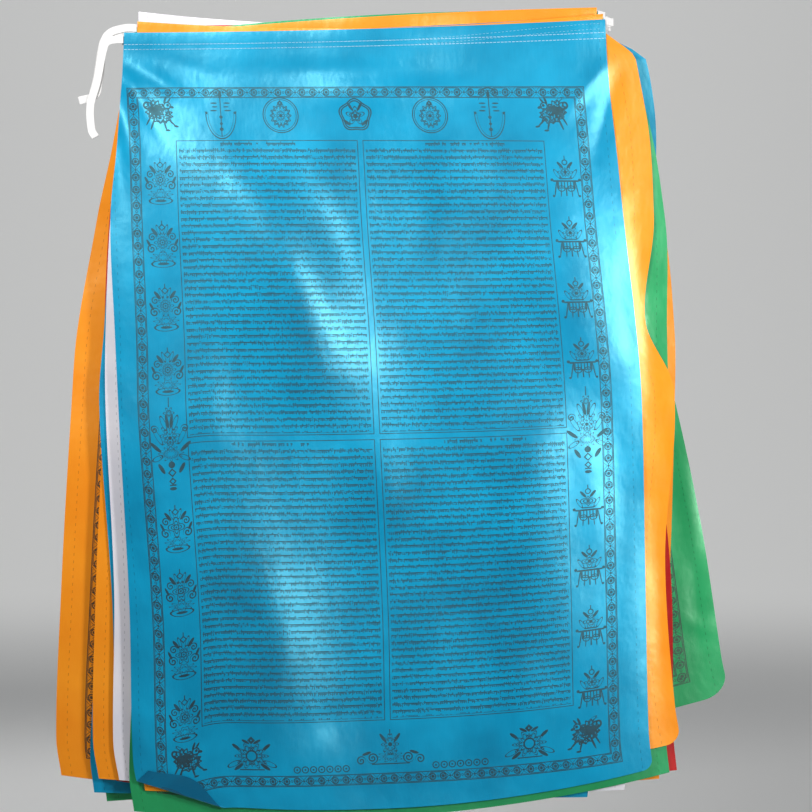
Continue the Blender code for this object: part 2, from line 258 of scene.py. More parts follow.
@dataclass(frozen=True)
class Bundle:
    """How the bundle hangs: where every flag lies in it, from its header to its hems."""

    drop: float = 800.0 * MM
    casing: float = 1.4 * MM
    casing_depth: float = 14.0 * MM
    casing_share: float = 0.02
    pitch_header: float = 1.7 * MM
    pitch_loose: float = 4.0 * MM
    loose_start: float = 24.0 * MM
    loose_full: float = 260.0 * MM
    fold_kept: float = 0.93
    crease_kept: float = 0.82
    folds_start: float = 30.0 * MM
    folds_full: float = 200.0 * MM
    creases_start: float = 16.0 * MM
    creases_full: float = 60.0 * MM
    fade_in: float = 0.25
    fade_out: float = 0.6
    fade_floor: float = 0.35
    belly: float = 10.0 * MM
    top_share: float = 0.1
    swag: float = 15.0 * MM
    swag_across: float = 0.08
    swag_half_width: float = 0.06

    def side_places(self, layer: int, down: np.ndarray | float) -> tuple[np.ndarray, np.ndarray]:
        """X of the left and right edges of a flag, at a share of the way down."""
        flag = FLAGS[layer]
        stations = [station.down for station in FRONT_EDGES]
        left = through(stations, [station.left for station in FRONT_EDGES], down)
        right = through(stations, [station.right for station in FRONT_EDGES], down)
        places = (0.0, *SPREAD_DOWN)
        outs = [through(places, (spread.header, *spread), down) for spread in (flag.left, flag.right)]
        return (left - outs[0]) * MM, (right + outs[1]) * MM

    def hang(self, layer: int, across: np.ndarray, down: np.ndarray) -> tuple[np.ndarray, np.ndarray]:
        """X and Z of places of a flag as it hangs, before its folds."""
        left, right = self.side_places(layer, down)
        x = left + (right - left) * across
        top = edge_height(FLAGS[layer].top, across) * (1.0 - ease(down / self.top_share))
        hem = edge_height(FLAGS[layer].hem, across)
        if layer == 0:
            hem = hem - self.swag * np.exp(-(((across - self.swag_across) / self.swag_half_width) ** 2))
        lower = (hem + self.drop) * ease((down - self.top_share) / (1.0 - self.top_share))
        return x, top + lower - self.drop * down

    def ridges(self, folds: Sequence[Fold], x: np.ndarray, z: np.ndarray, fading: bool = False) -> np.ndarray:
        """How far a set of folds lifts the cloth towards the viewer, with ends that fade where asked."""
        total = np.zeros_like(x)
        for fold in folds:
            start = np.array((fold.x_high, fold.z_high)) * MM
            along = np.array((fold.x_low, fold.z_low)) * MM - start
            share = ((x - start[0]) * along[0] + (z - start[1]) * along[1]) / (along @ along)
            share = np.clip(share, 0.0, 1.0)
            away = np.hypot(x - start[0] - along[0] * share, z - start[1] - along[1] * share)
            shape = np.exp(-((away / (fold.half_width * MM)) ** 2))
            if fading:
                begun = self.fade_floor + (1.0 - self.fade_floor) * ease(share / self.fade_in)
                shape = shape * ease((1.0 - share) / self.fade_out) * begun
            total += fold.height * MM * shape
        return total

    def depth(self, layer: int, x: np.ndarray, z: np.ndarray) -> np.ndarray:
        """Y of a flag: its turn in the bundle, and its share of the folds and creases."""
        loose = ease((-z - self.loose_start) / (self.loose_full - self.loose_start))
        pitch = self.pitch_header + (self.pitch_loose - self.pitch_header) * loose
        start = ease((-z - self.folds_start) / (self.folds_full - self.folds_start))
        belly = self.belly * np.sin(np.pi * np.clip(-z / self.drop, 0.0, 1.0))
        folds = self.ridges(FOLDS, x, z) * start + belly
        fine_start = ease((-z - self.creases_start) / (self.creases_full - self.creases_start))
        fine = self.ridges(CREASES, x, z, fading=True) * fine_start
        return layer * pitch - folds * self.fold_kept**layer - fine * self.crease_kept**layer


BUNDLE = Bundle()

# By layer from the front: flags whose lower right corner is rounded, with its radius in millimetres
ROUNDED = {0: 10.0, 1: 15.0, 12: 22.0}

# How far a flag's print sits to the right of the front flag's, in millimetres
PRINT_SLIP = {1: -9.0}


@dataclass(frozen=True)
class TurnedCorner:
    """The front flag's lower left corner, which is turned up over its front and curls at its tip."""

    left: Vector = field(default_factory=lambda: Vector((-242.5, 0.0, -787.5)) * MM)
    right: Vector = field(default_factory=lambda: Vector((-142.8, 0.0, -818.0)) * MM)
    radius: float = 1.3 * MM
    cuts: int = 6
    curl: float = 3.0 * MM
    curl_from: float = 8.0 * MM
    curl_full: float = 34.0 * MM

    def below(self) -> Vector:
        """The direction in the cloth from the turn line to the corner."""
        along = (self.right - self.left).normalized()
        return Vector((along.z, 0.0, -along.x))

    def cut(self, sheet: bmesh.types.BMesh) -> None:
        """Adds edges along the bend to the front flag's flat surface."""
        for step in range(self.cuts + 1):
            place = self.left + self.below() * (math.pi * self.radius * step / self.cuts)
            geometry = list(sheet.verts) + list(sheet.edges) + list(sheet.faces)
            bmesh.ops.bisect_plane(sheet, geom=geometry, dist=1e-7, plane_co=place, plane_no=self.below())

    def fold(self, point: Vector) -> Vector:
        """Where a point of the cloth lies once the corner is turned up."""
        below = self.below()
        past = (Vector((point.x, 0.0, point.z)) - self.left).dot(below)
        if past <= 0.0:
            return point
        turn = min(past / self.radius, math.pi)
        in_plane = self.radius * math.sin(turn) - max(past - math.pi * self.radius, 0.0)
        lift = self.radius * (1.0 - math.cos(turn))
        lift += self.curl * ease((past - self.curl_from) / (self.curl_full - self.curl_from))
        return point + below * (in_plane - past) - Vector((0.0, lift, 0.0))


@dataclass(frozen=True)
class ClothSheet:
    """The flat cut of a flag and the fine sheet that is hung from it."""

    width: float = 545.0
    length: float = 812.0
    cut_width: float = 0.545
    cut_length: float = 0.845
    thick: float = 0.45 * MM
    seam: float = 0.9 * MM
    casing_mm: float = 13.0
    seam_fade: float = 7.0
    casing_rows: int = 8
    gathered: tuple[float, ...] = (24, 23, 14, 5, 5, 7, 3, 2, 0)
    right_side: tuple[float, ...] = (541, 545, 545)
    right_places: tuple[float, ...] = (0.0, 0.3, 1.0)
    hem_line: tuple[float, ...] = (808, 816, 803)
    hem_places: tuple[float, ...] = (0.0, 0.5, 1.0)
    turn: TurnedCorner = field(default_factory=TurnedCorner)

    def flat_places(self, layer: int, across: np.ndarray, down: np.ndarray) -> np.ndarray:
        """Where places of a hung flag lie in its flat cut, in millimetres across and down."""
        if layer:
            return np.stack([self.width * across - PRINT_SLIP.get(layer, 0.0), self.length * down], axis=-1)
        stations = [station.down for station in FRONT_EDGES]
        gathered = through(stations, self.gathered, down)
        right = through(self.right_places, self.right_side, down)
        hem = through(self.hem_places, self.hem_line, across)
        return np.stack([gathered + (right - gathered) * across, hem * down], axis=-1)

    def rounded(self, layer: int, across: np.ndarray, down: np.ndarray) -> tuple[np.ndarray, np.ndarray]:
        """Draws in the lower right corner of a flag's grid where its cut is rounded."""
        radius = ROUNDED.get(layer, 0.0)
        if not radius:
            return across, down
        wide, high = radius / self.width, radius / self.length
        right = np.clip((across - 1.0 + wide) / wide, 0.0, 1.0)
        low = np.clip((down - 1.0 + high) / high, 0.0, 1.0)
        drawn_across = across + wide * right * (np.sqrt(1.0 - low * low / 2.0) - 1.0)
        return drawn_across, down + high * low * (np.sqrt(1.0 - right * right / 2.0) - 1.0)

    def thickness(self, down_mm: float) -> float:
        """The sheet's thickness: a flat tube at the casing, a seam under it, and plain cloth."""
        if down_mm < self.casing_mm:
            bulge = math.sqrt(math.sin(math.pi * down_mm / self.casing_mm))
            return self.seam + (BUNDLE.casing - self.seam) * bulge
        fade = 1.0 - ease((down_mm - self.casing_mm) / self.seam_fade)
        return self.thick + (self.seam - self.thick) * fade

    def flat_grid(self, layer: int, columns: int, rows: int) -> bmesh.types.BMesh:
        """A flag's middle surface in the XZ plane, closer rows at its casing, with its cloth places."""
        casing = BUNDLE.casing_depth / BUNDLE.drop
        upper = np.linspace(0.0, casing, self.casing_rows + 1)
        downs = np.concatenate([upper, np.linspace(casing, 1.0, rows + 1)[1:]])
        down, across = np.meshgrid(downs, np.linspace(0.0, 1.0, columns + 1), indexing="ij")
        across, down = self.rounded(layer, across, down)
        x, z = BUNDLE.hang(layer, across, down)
        flat = self.flat_places(layer, across, down)
        sheet = bmesh.new()
        place = sheet.verts.layers.float_vector.new(CLOTH_PLACE)
        grid = []
        for row in range(len(downs)):
            line = []
            for column in range(columns + 1):
                vert = sheet.verts.new((x[row, column], 0.0, z[row, column]))
                vert[place] = (*flat[row, column], 0.0)
                line.append(vert)
            grid.append(line)
        for over, under in zip(grid, grid[1:]):
            for column in range(columns):
                sheet.faces.new((over[column], under[column], under[column + 1], over[column + 1]))
        return sheet

    def hang_up(self, layer: int, sheet: bmesh.types.BMesh) -> None:
        """Gives a flat grid its depth, and turns up the front flag's corner."""
        if layer == 0:
            self.turn.cut(sheet)
        places = np.array([vert.co for vert in sheet.verts])
        depths = BUNDLE.depth(layer, places[:, 0], places[:, 2])
        for vert, depth in zip(sheet.verts, depths):
            vert.co.y = depth
            if layer == 0:
                vert.co = self.turn.fold(vert.co)

    def thicken(self, sheet: bmesh.types.BMesh) -> bmesh.types.BMesh:
        """Turns the middle surface into a closed sheet, half of its thickness to each side."""
        sheet.normal_update()
        place = sheet.verts.layers.float_vector[CLOTH_PLACE]
        solid = bmesh.new()
        kept = solid.verts.layers.float_vector.new(CLOTH_PLACE)
        pairs = {}
        for vert in sheet.verts:
            across, down, _ = vert[place]
            half = vert.normal * (self.thickness(down) / 2.0)
            pair = (solid.verts.new(vert.co + half), solid.verts.new(vert.co - half))
            for side, made in enumerate(pair):
                made[kept] = (across, down, float(side))
            pairs[vert] = pair
        for face in sheet.faces:
            solid.faces.new([pairs[vert][0] for vert in face.verts])
            solid.faces.new([pairs[vert][1] for vert in reversed(face.verts)])
        for edge in sheet.edges:
            if not edge.is_boundary:
                continue
            loop = edge.link_loops[0]
            first, second = loop.vert, loop.link_loop_next.vert
            solid.faces.new((pairs[second][0], pairs[first][0], pairs[first][1], pairs[second][1]))
        return solid


def linked(name: str, data: bpy.types.ID) -> bpy.types.Object:
    """Makes an object of some data and links it to the scene."""
    made = bpy.data.objects.new(name, data)
    bpy.context.scene.collection.objects.link(made)
    return made


def keep(solid: bmesh.types.BMesh, name: str, material: bpy.types.Material) -> bpy.types.Object:
    """Makes a named piece of a closed solid, with its faces turned out.

    Args:
        solid: the closed solid, which is freed.
        name: the piece's name.
        material: its finish.

    Returns:
        The piece, linked to the scene with its origin at the scene's.
    """
    if solid.calc_volume(signed=True) < 0.0:
        bmesh.ops.reverse_faces(solid, faces=solid.faces)
    mesh = bpy.data.meshes.new(name)
    solid.to_mesh(mesh)
    solid.free()
    mesh.materials.append(material)
    mesh.shade_smooth()
    mesh.set_sharp_from_angle(angle=math.radians(50))
    return linked(name, mesh)


class Bench:
    """A material's node tree, and the one way in which nodes are added to it."""

    def __init__(self, name: str) -> None:
        """Starts an empty material."""
        self.material = bpy.data.materials.new(name)
        self.material.use_nodes = True
        self.tree = self.material.node_tree
        self.tree.nodes.clear()

    def node(
        self, kind: str, settings: dict | None = None, values: dict | None = None, out: int | str = 0
    ) -> "Wire":
        """Adds a node.

        Args:
            kind: the node's type.
            settings: its properties, which are set first.
            values: for each input, by name or number, a value or a wire.
            out: the output that is handed back.

        Returns:
            That output as a wire.
        """
        made = self.tree.nodes.new(kind)
        for key, value in (settings or {}).items():
            setattr(made, key, value)
        for key, value in (values or {}).items():
            if isinstance(value, Wire):
                self.tree.links.new(value.socket, made.inputs[key])
            else:
                made.inputs[key].default_value = value
        return Wire(self, made.outputs[out])

    def ended(self, shader: "Wire") -> bpy.types.Material:
        """Joins a shader to the material's output, and hands back the material."""
        output = self.tree.nodes.new("ShaderNodeOutputMaterial")
        self.tree.links.new(shader.socket, output.inputs["Surface"])
        return self.material

    def math(self, operation: str, *values: "Wire | float") -> "Wire":
        """Adds a Math node."""
        return self.node("ShaderNodeMath", {"operation": operation}, dict(enumerate(values)))

    def point(self, x: "Wire | float", y: "Wire | float", z: "Wire | float" = 0.0) -> "Wire":
        """Joins three numbers into a point."""
        return self.node("ShaderNodeCombineXYZ", None, {"X": x, "Y": y, "Z": z})

    def split(self, point: "Wire") -> tuple["Wire", "Wire", "Wire"]:
        """The three numbers of a point."""
        first = self.node("ShaderNodeSeparateXYZ", None, {"Vector": point})
        outputs = first.socket.node.outputs
        return first, Wire(self, outputs[1]), Wire(self, outputs[2])

    def mix(self, share: "Wire | float", first: "Wire | tuple", second: "Wire | tuple") -> "Wire":
        """Blends two colours."""
        return self.node("ShaderNodeMix", {"data_type": "RGBA"}, {0: share, 6: first, 7: second}, 2)

    def noise(self, point: "Wire", scale: float, detail: float = 2.0, roughness: float = 0.5) -> "Wire":
        """Soft noise from 0 to 1."""
        return self.node("ShaderNodeTexNoise", None, {
            "Vector": point, "Scale": scale, "Detail": detail, "Roughness": roughness,
        })

    def bump(self, height: "Wire", strength: float, distance: float) -> "Wire":
        """A normal that follows a height, whose unit is the distance."""
        values = {"Height": height, "Strength": strength, "Distance": distance}
        return self.node("ShaderNodeBump", None, values, "Normal")


def operator(operation: str, swapped: bool = False) -> Callable[..., "Wire"]:
    """One operator of a wire.

    Args:
        operation: the operation of the Math node that it adds.
        swapped: whether the wire comes last, as in a number minus a wire.

    Returns:
        The method, which takes the node's other values.
    """

    def joined(wire: "Wire", *others: "Wire | float") -> "Wire":
        """Adds the Math node."""
        return wire.bench.math(operation, *((*others, wire) if swapped else (wire, *others)))

    return joined


class Wire:
    """A number that changes over a surface. Sums of wires add their own Math nodes.

    A comparison gives a mask of 0 and 1. Masks are joined by * as and, and by | as or. near(other, half)
    is 1 where the number is within half of the other.
    """

    def __init__(self, bench: Bench, socket: bpy.types.NodeSocket) -> None:
        """Holds one output of one node."""
        self.bench = bench
        self.socket = socket

    __add__ = operator("ADD")
    __radd__ = operator("ADD", swapped=True)
    __sub__ = operator("SUBTRACT")
    __rsub__ = operator("SUBTRACT", swapped=True)
    __mul__ = operator("MULTIPLY")
    __rmul__ = operator("MULTIPLY", swapped=True)
    __truediv__ = operator("DIVIDE")
    __abs__ = operator("ABSOLUTE")
    __lt__ = operator("LESS_THAN")
    __gt__ = operator("GREATER_THAN")
    __or__ = operator("MAXIMUM")
    near = operator("COMPARE")
    floor = operator("FLOOR")
    fract = operator("FRACT")
    cosine = operator("COSINE")


class Pen:
    """Draws one motif in its own millimetres, across and down from its middle, into one mask."""

    def __init__(self, bench: Bench, x: Wire, y: Wire) -> None:
        """Starts a blank motif. Where x has no sign, the motif is the same on both sides."""
        self.bench = bench
        self.x = x
        self.y = y
        self.ink: Wire | None = None

    def add(self, mask: Wire) -> None:
        """Adds a shape to the motif."""
        self.ink = mask if self.ink is None else self.ink | mask

    def placed(self, x: float, y: float, radii: tuple[float, float], turn: float = 0.0) -> tuple[Wire, Wire]:
        """A point's place in an oval that is moved, turned and stretched to a unit circle."""
        wide, high = radii
        cosine, sine = math.cos(math.radians(turn)), math.sin(math.radians(turn))
        start_across = -(x * cosine + y * sine) / wide
        start_down = (x * sine - y * cosine) / high
        if turn:
            start_across = self.bench.math("MULTIPLY_ADD", self.y, sine / wide, start_across)
            start_down = self.bench.math("MULTIPLY_ADD", self.x, -sine / high, start_down)
        across = self.bench.math("MULTIPLY_ADD", self.x, cosine / wide, start_across)
        return across, self.bench.math("MULTIPLY_ADD", self.y, cosine / high, start_down)

    def squared(self, place: tuple[Wire, Wire]) -> Wire:
        """The square of a place's distance from the middle."""
        across, down = place
        return self.bench.math("MULTIPLY_ADD", across, across, down * down)

    def oval(
        self, x: float, y: float, radii: tuple[float, float], turn: float = 0.0, line: float = 0.0
    ) -> None:
        """An oval, filled or as a line."""
        away = self.squared(self.placed(x, y, radii, turn))
        self.add(away.near(1.0, 2.0 * line / sum(radii)) if line else away < 1.0)

    def ring(self, x: float, y: float, radius: float, line: float = 0.9) -> None:
        """A circle's line."""
        self.oval(x, y, (radius, radius), line=line)

    def disc(self, x: float, y: float, radius: float) -> None:
        """A filled circle."""
        self.oval(x, y, (radius, radius))

    def bar(self, x: float, y: float, half_width: float, half_height: float) -> None:
        """A filled bar along the cloth."""
        self.add(self.x.near(x, half_width) * self.y.near(y, half_height))

    def around(self, x: float, y: float, radii: tuple[float, float], turn: float = 0.0) -> tuple[Wire, Wire]:
        """Distance and angle in an oval."""
        across, down = self.placed(x, y, radii, turn)
        away = self.bench.math("SQRT", self.squared((across, down)))
        return away, self.bench.math("ARCTAN2", down, across)

    def rosette(
        self,
        x: float,
        y: float,
        radii: tuple[float, float],
        petals: "Wire | float",
        depth: float = 0.2,
        line: float = 0.9,
        inner: float = 0.0,
        turn: float = 0.0,
    ) -> None:
        """Petals around a middle.

        Args:
            x: across, to the middle.
            y: down, to the middle.
            radii: half of the width and of the height.
            petals: how many.
            depth: how deep the petals are cut, as a share of the radius.
            line: how wide the outline is, or 0 for a filled rosette.
            inner: where above 0, the share of the size at which a second outline runs.
            turn: how far the first petal is turned, in degrees.
        """
        away, angle = self.around(x, y, radii, turn)
        edge = (angle * petals).cosine() * depth + (1.0 - depth)
        if not line:
            self.add(away < edge)
            return
        half = line / sum(radii)
        self.add(away.near(edge, half))
        if inner:
            self.add(away.near(edge * inner, half))

    def scroll(self, x: float, y: float, radius: float, turns: float = 1.6, line: float = 0.45) -> None:
        """A tendril that winds into its middle."""
        away, angle = self.around(x, y, (radius, radius))
        wound = (angle / math.tau + away * turns).fract()
        self.add((wound < line) * (away < 1.0))

    def stroke(self, start: tuple[float, float], end: tuple[float, float], line: float) -> None:
        """A straight stroke between two points, as a long thin oval."""
        middle = [(low + high) / 2.0 for low, high in zip(start, end)]
        across, down = (high - low for low, high in zip(start, end))
        radii = (math.hypot(across, down) / 2.0 + line / 2.0, line / 2.0)
        self.oval(*middle, radii, math.degrees(math.atan2(down, across)))


@dataclass(frozen=True)
class BlockPrint:
    """The black print of a flag: a border, four corner beasts, rows of emblems and four ruled boxes.

    Places are in millimetres from the border's upper left corner. The boxes hold rows of plain ticks.
    """

    width: float = 488.0
    height: float = 728.0
    band: float = 12.0
    across_pairs: int = 19
    down_pairs: int = 25
    box_middle: float = 245.0
    box_half: float = 195.0
    gutter_half: float = 3.0
    box_rows: tuple[tuple[float, float], ...] = ((57.5, 363.0), (369.0, 660.0))
    row_pitch: float = 7.15
    title_depth: float = 8.0
    tick_pitch: float = 2.1
    emblem_middle: float = 246.5
    emblem_out: float = 214.5
    emblem_half_pitch: float = 32.4
    pair_pitch: float = 27.4
    middle_down: float = 365.0
    lotus_across: float = 32.0
    table_across: float = 460.0
    tall_down: float = 368.0
    top_middle: float = 242.0
    top_down: float = 30.5
    bottom_middle: float = 247.0
    beast_middle: float = 243.0
    beast_out: float = 207.5
    beast_down: float = 29.0
    beast_drop: float = 664.0

    def border(self, bench: Bench, a: Wire, b: Wire) -> Wire:
        """Two lines around the print, with pairs of rosettes in pointed frames between them."""
        from_side = bench.math("MINIMUM", a, self.width - a)
        from_end = bench.math("MINIMUM", b, self.height - b)
        deep = bench.math("MINIMUM", from_side, from_end)
        upright = from_side < from_end
        level = a * (self.across_pairs / self.width)
        along = level + upright * (b * (self.down_pairs / self.height) - level)
        x = abs((along.fract() - 0.5) * self.pair_pitch)
        y = deep - self.band / 2.0
        pen = Pen(bench, x, y)
        pen.ring(5.8, 0, 3.3, 1)
        pen.disc(5.8, 0, 1.5)
        pen.rosette(5.8, 0, (2.9, 2.9), 8, 0.25, 0.8)
        pen.disc(self.band + 1.2, 0, 0.9)
        pen.ring(0, 0, 1.1, 0.6)
        frame_line = abs(y) + x
        pen.add(frame_line.near(11.6, 0.55) * (abs(y) < 4.6))
        pen.add(abs(y).near(4.4, 0.4) * (x < 7.2))
        pen.add(frame_line.near(14.9, 0.3) * (abs(y) < 4.9))
        lines = deep.near(0.5, 0.45) | deep.near(self.band - 0.5, 0.45) | deep.near(1.7, 0.2)
        inside = deep.near(self.band / 2.0, self.band / 2.0)
        return (lines | pen.ink) * inside

    def ruled_boxes(self, bench: Bench, a: Wire, b: Wire) -> Wire:
        """Four ruled boxes, each with a short title row and rows of ticks with no letters in them."""
        out = abs(a - self.box_middle)
        (first, second), (third, last) = self.box_rows
        lower = b > (second + third) / 2.0
        start = lower * (third - first) + first
        depth = lower * ((last - third) - (second - first)) + (second - first)
        y = b - start
        across = (self.box_half + self.gutter_half) / 2.0
        in_box = out.near(across, across - self.gutter_half) * y.near(depth / 2.0, depth / 2.0)
        frame_lines = out.near(self.gutter_half, 0.4) | out.near(self.box_half, 0.4)
        frame_lines = frame_lines | y.near(0.0, 0.4) | y.near(depth, 0.4)
        limits = out.near(across, across - self.gutter_half + 0.4) * y.near(depth / 2.0, depth / 2.0 + 0.4)
        ruled = frame_lines * limits
        rows = (y - self.title_depth) / self.row_pitch
        row = rows.floor()
        step = a / self.tick_pitch
        tick = bench.point(step.floor(), row, lower)
        chance = bench.node("ShaderNodeTexWhiteNoise", {"noise_dimensions": "3D"}, {"Vector": tick}, 1)
        some, more, rare = bench.split(chance)
        x = step.fract() - 0.5
        down = rows.fract() * self.row_pitch
        ticks = down.near(2.0, 0.42) * (some > 0.14)
        ticks = ticks | (x.near(-0.18, 0.17) * (down > 1.9) * (down < more * 3.2 + 2.6))
        ticks = ticks | (x.near(0.3, 0.15) * (down > 1.9) * (down < some * 2.6 + 2.2))
        ticks = ticks | (x.near(0.1, 0.36) * down.near(3.9, 0.34) * (rare < 0.5))
        ticks = ticks | (x.near(0.0, 0.3) * down.near(0.8, 0.5) * (rare > 0.70))
        title = (y < self.title_depth) * out.near(across + 12.0, 42.0) * (some > 0.3)
        text_rows = (y > self.title_depth) * (y < depth - 2.0)
        text_rows = text_rows * out.near(across, across - self.gutter_half - 2.5)
        return ruled | (ticks * in_box * (title | text_rows))

    def side_emblems(self, bench: Bench, a: Wire, b: Wire) -> Wire:
        """A column of emblems at each side: on lotus seats at the left, on little tables at the right."""
        upper = b < self.middle_down
        right = a > self.box_middle
        pitch = self.emblem_half_pitch * 2.0
        steps = (b + right * 4.0 - (453.0 - upper * 353.0)) / pitch + 0.5
        count = steps.floor()
        y = (steps.fract() - 0.5) * pitch
        there = count.near(1.5, 1.6)
        seed = count + upper * 4.0
        return (self.lotus_emblem(bench, a, y, seed) | self.table_emblem(bench, a, y, seed)) * there

    def lotus_emblem(self, bench: Bench, a: Wire, y: Wire, seed: Wire) -> Wire:
        """A flower or jewel with tendrils on a lotus seat."""
        pen = Pen(bench, abs(a - self.lotus_across), y)
        pen.oval(0, 20, (12, 3.6), line=1.3)
        pen.oval(0, 20, (6, 1.2))
        pen.rosette(0, 13.5, (13, 5.5), 9, 0.22, 1, 0.55)
        pen.rosette(0, -2, (8.5, 10), seed + 4, 0.24, 1.1, 0.62)
        pen.ring(0, -2, 2.6, 1)
        pen.disc(0, -2, 1)
        pen.scroll(11.5, 4.5, 5)
        pen.scroll(10.5, -7.5, 4.2)
        pen.oval(8, -13, (5, 1.7), -50)
        pen.oval(4, -15, (5.2, 1.5), -70, 0.9)
        pen.oval(14.5, -1.5, (4.2, 1.3), -62)
        pen.add((pen.x + abs(y + 17.5)).near(3.2, 0.7))
        pen.bar(0, -22, 0.5, 2.6)
        return pen.ink

    def table_emblem(self, bench: Bench, a: Wire, y: Wire, seed: Wire) -> Wire:
        """A jewel or vessel on a small carved table."""
        pen = Pen(bench, abs(a - self.table_across), y)
        pen.bar(0, 4, 13.5, 0.9)
        pen.disc(14.6, 2.8, 1.6)
        pen.bar(0, 11.5, 9.5, 0.6)
        pen.add(pen.x.near(9.2, 0.6) * y.near(8, 4))
        pen.add((pen.x / 3.2).fract().near(0.5, 0.17) * y.near(8, 3) * (pen.x < 9))
        pen.oval(5, 12, (3.6, 3), line=1)
        pen.stroke((10, 5), (12.5, 20), 1.3)
        pen.stroke((5.5, 13), (6, 20.5), 1.1)
        pen.bar(0, 16, 0.7, 4)
        pen.disc(13.6, 20, 1.3)
        pen.rosette(0, -5.5, (8, 7), seed + 3, 0.26, 1.1, 0.6)
        pen.disc(0, -5.5, 1.8)
        pen.oval(9, -3.5, (5.4, 1.6), -58, 1)
        pen.oval(5, -13, (4.6, 1.5), -48)
        pen.ring(0, -16, 2.6, 1.1)
        pen.bar(0, -20.6, 0.5, 2.4)
        pen.bar(0, 1.5, 6, 0.6)
        return pen.ink

    def tall_emblem(self, bench: Bench, a: Wire, b: Wire) -> Wire:
        """The tall leafy emblem at the middle of each side."""
        pen = Pen(bench, abs(abs(a - self.emblem_middle) - self.emblem_out), b - self.tall_down)
        pen.bar(0, -43, 0.5, 5)
        pen.rosette(0, -32, (5.5, 6), 6, 0.3, 1.1, 0.5)
        pen.oval(6, -22, (7.5, 2.2), -68, 1.1)
        pen.oval(2.2, -24, (7, 1.6), -80)
        pen.rosette(0, -9, (10, 14), 10, 0.24, 1.2, 0.7)
        pen.rosette(0, -7, (5, 7), 7, 0.25, 1.2)
        pen.disc(0, -7, 1.9)
        pen.rosette(0, 9, (13, 7.5), 12, 0.24, 1.1, 0.6)
        pen.oval(12.5, -8, (8.5, 2.3), -60, 1.1)
        pen.oval(15.5, 3, (7, 2), -38)
        pen.oval(14, 14, (6, 2.2), 30, 1.1)
        pen.scroll(15.5, -15, 4.2)
        pen.oval(10.5, 24, (5.6, 2), -58)
        pen.disc(0, 20, 3.4)
        pen.add((pen.x + abs(pen.y - 28)).near(3.6, 0.9))
        pen.add((pen.x + abs(pen.y - 36.5)).near(3, 0.9))
        pen.bar(0, 40.5, 3.4, 0.7)
        pen.oval(0, 44, (3.6, 1.7))
        return pen.ink

    def top_row(self, bench: Bench, a: Wire, b: Wire) -> Wire:
        """Between the beasts at the top: a jewel, two ringed jewels and two staffs with fronds."""
        out = abs(a - self.top_middle)
        y = b - self.top_down
        jewel = Pen(bench, out, y)
        jewel.rosette(0, 0, (17.5, 17.5), 5, 0.07, 1.4, 0.87, -90)
        jewel.rosette(0, 1, (10, 10), 5, 0.3, 1.3, 0.62, -90)
        jewel.disc(0, 1, 2.4)
        jewel.oval(9.5, 8, (4.5, 1.6), -40)
        jewel.oval(5, -9, (5, 1.4), -60)
        jewel.ring(0, 1, 4.4, 1)
        ringed = Pen(bench, out - 79.5, y)
        ringed.ring(0, 0, 18.6, 1.1)
        ringed.ring(0, 0, 16.6, 0.7)
        ringed.rosette(0, 0.5, (11, 12.5), 14, 0.1, 1.2, 0.85)
        ringed.rosette(0, 0.5, (7, 8.5), 8, 0.24, 1.1, 0.6)
        ringed.disc(0, 0.5, 1.8)
        ringed.add((abs(ringed.x) + abs(y + 13)).near(2, 1.1))
        staff = Pen(bench, abs(out - 143.0), y)
        staff.bar(0, -1, 0.5, 24)
        staff.oval(0, -22, (1.8, 4.2))
        staff.disc(0, 2, 1.8)
        staff.disc(0, 9, 1.5)
        staff.disc(0, 15, 2)
        staff.oval(0, -2, (16, 27), line=1.1)
        staff.oval(0, -2, (13.5, 24.5), line=0.5)
        staff.oval(7, -13, (3.6, 0.8))
        staff.oval(6, -9, (3, 0.7))
        staff.oval(7.5, -5, (3.6, 0.8))
        staff.oval(15.5, -3.5, (2.6, 1.2), -70)
        fronds = staff.ink * ((y > -4.0) | (staff.x < 11.5))
        fronds = fronds * ((y > 2.0) | (staff.x < 11.0) | (staff.x > 13.0))
        return jewel.ink | ringed.ink | fronds

    def bottom_row(self, bench: Bench, a: Wire, b: Wire) -> Wire:
        """Between the beasts at the bottom: a lotus with tendrils, rows of circles and two lotuses."""
        out = abs(a - self.bottom_middle)
        middle = Pen(bench, out, b - 693.0)
        middle.rosette(0, -7, (9, 11), 9, 0.22, 1.2, 0.66)
        middle.disc(0, -7, 2.2)
        middle.rosette(0, 6, (14, 6), 11, 0.22, 1.1, 0.55)
        middle.oval(7.5, -14, (5.5, 1.6), -55)
        middle.scroll(19, 7, 6, 2)
        middle.scroll(31, 9.5, 5, 1.6)
        middle.oval(25, 2, (5, 1.5), 18)
        middle.bar(0, 13.5, 20, 0.6)
        middle.bar(0, -20, 0.5, 3)
        row = Pen(bench, ((out / 8.6).fract() - 0.5) * 8.6, b - 710.0)
        row.ring(0, 0, 3.3, 1.1)
        row.disc(0, 0, 1)
        circles = row.ink * out.near(73.1, 30.1)
        lotus = Pen(bench, abs(out - 146.0), b - 695.0)
        lotus.rosette(0, 0, (17.5, 14), 11, 0.2, 1.2, 0.8)
        lotus.rosette(0, 0, (11, 9), 9, 0.22, 1.2)
        lotus.ring(0, 0, 5.6, 1.6)
        lotus.oval(19, 8.5, (7, 2.4), 24, 1.1)
        lotus.oval(14, 11.5, (6, 1.8), 35)
        lotus.oval(16, -9.5, (5, 1.7), -38)
        lotus.add((lotus.x + abs(lotus.y + 16.5)).near(2.6, 1.6))
        lotus.oval(6, -15, (4.4, 1.4), -28)
        lotus.bar(0, 14.5, 13, 0.6)
        return middle.ink | circles | lotus.ink

